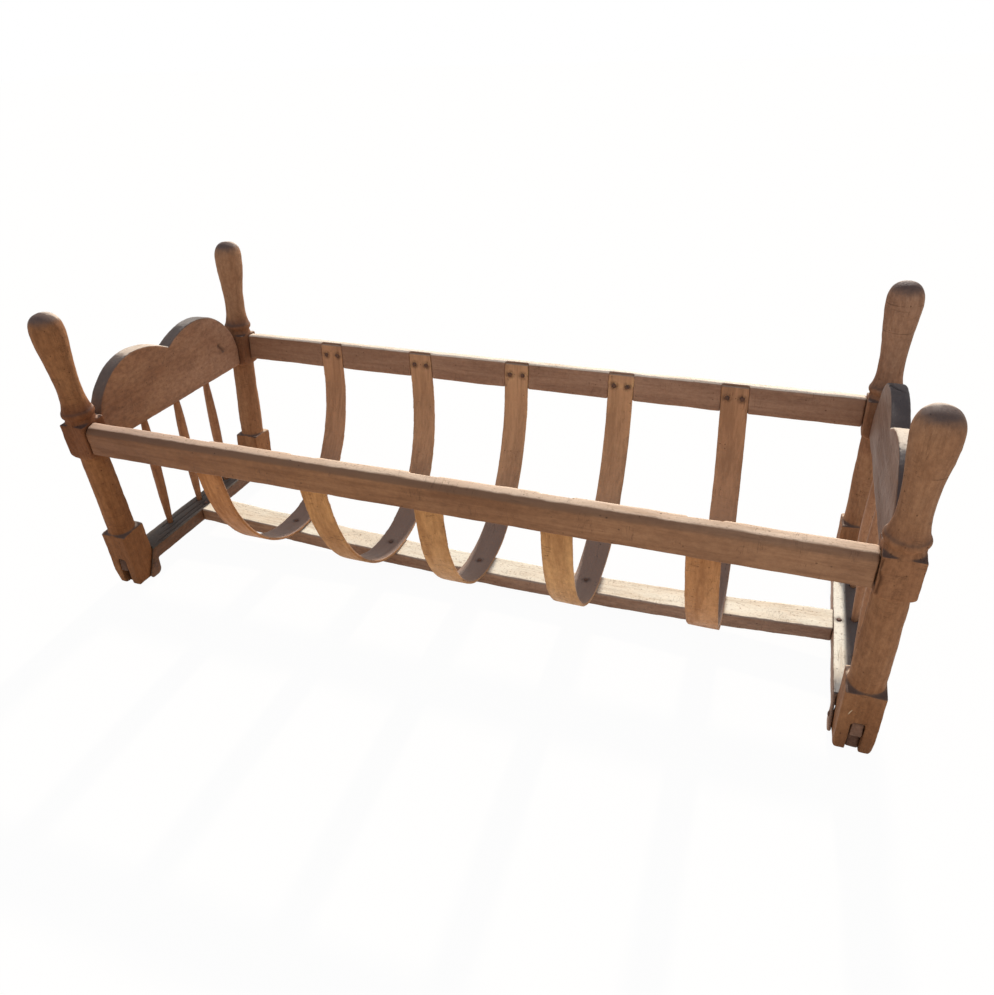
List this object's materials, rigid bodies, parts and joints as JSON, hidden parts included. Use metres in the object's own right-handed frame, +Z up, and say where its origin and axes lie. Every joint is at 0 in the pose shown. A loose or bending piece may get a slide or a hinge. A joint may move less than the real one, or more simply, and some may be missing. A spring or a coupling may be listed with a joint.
{
  "type": "cradle",
  "caption": "Old wooden baby cradle with raked turned posts, side rails, bent ribs forming an open trough bed, and lobed end boards over turned spindles.",
  "frame": {"origin": "on the floor, under the middle of the four feet", "axes": "+X along the cradle towards its right end in the picture, +Y across it towards its back, +Z up"},
  "size_m": [1.044, 0.4208, 0.4249],
  "materials": {
    "post_wood": "aged, worn satin",
    "rail_wood": "aged, worn satin",
    "board_wood": "aged, worn satin",
    "base_wood": "aged, worn satin",
    "rib_wood": "aged, worn satin",
    "spindle_wood": "aged, worn satin",
    "nail_iron": "dark, rusted, forged"
  },
  "bodies": {
    "root": {"post_front_left": "post_wood", "post_front_right": "post_wood", "post_back_left": "post_wood", "post_back_right": "post_wood", "front_rail": "rail_wood", "back_rail": "rail_wood", "left_end_board": "board_wood", "right_end_board": "board_wood", "left_end_rail": "base_wood", "right_end_rail": "base_wood", "stretcher": "base_wood", "rib_1": "rib_wood", "rib_2": "rib_wood", "rib_3": "rib_wood", "rib_4": "rib_wood", "rib_5": "rib_wood", "left_spindle_front": "spindle_wood", "left_spindle_middle": "spindle_wood", "left_spindle_back": "spindle_wood", "right_spindle_front": "spindle_wood", "right_spindle_middle": "spindle_wood", "right_spindle_back": "spindle_wood", "left_end_rail_nails": "nail_iron", "right_end_rail_nails": "nail_iron", "front_rail_nails": "nail_iron", "back_rail_nails": "nail_iron", "stretcher_nails": "nail_iron"}
  },
  "joints": []
}
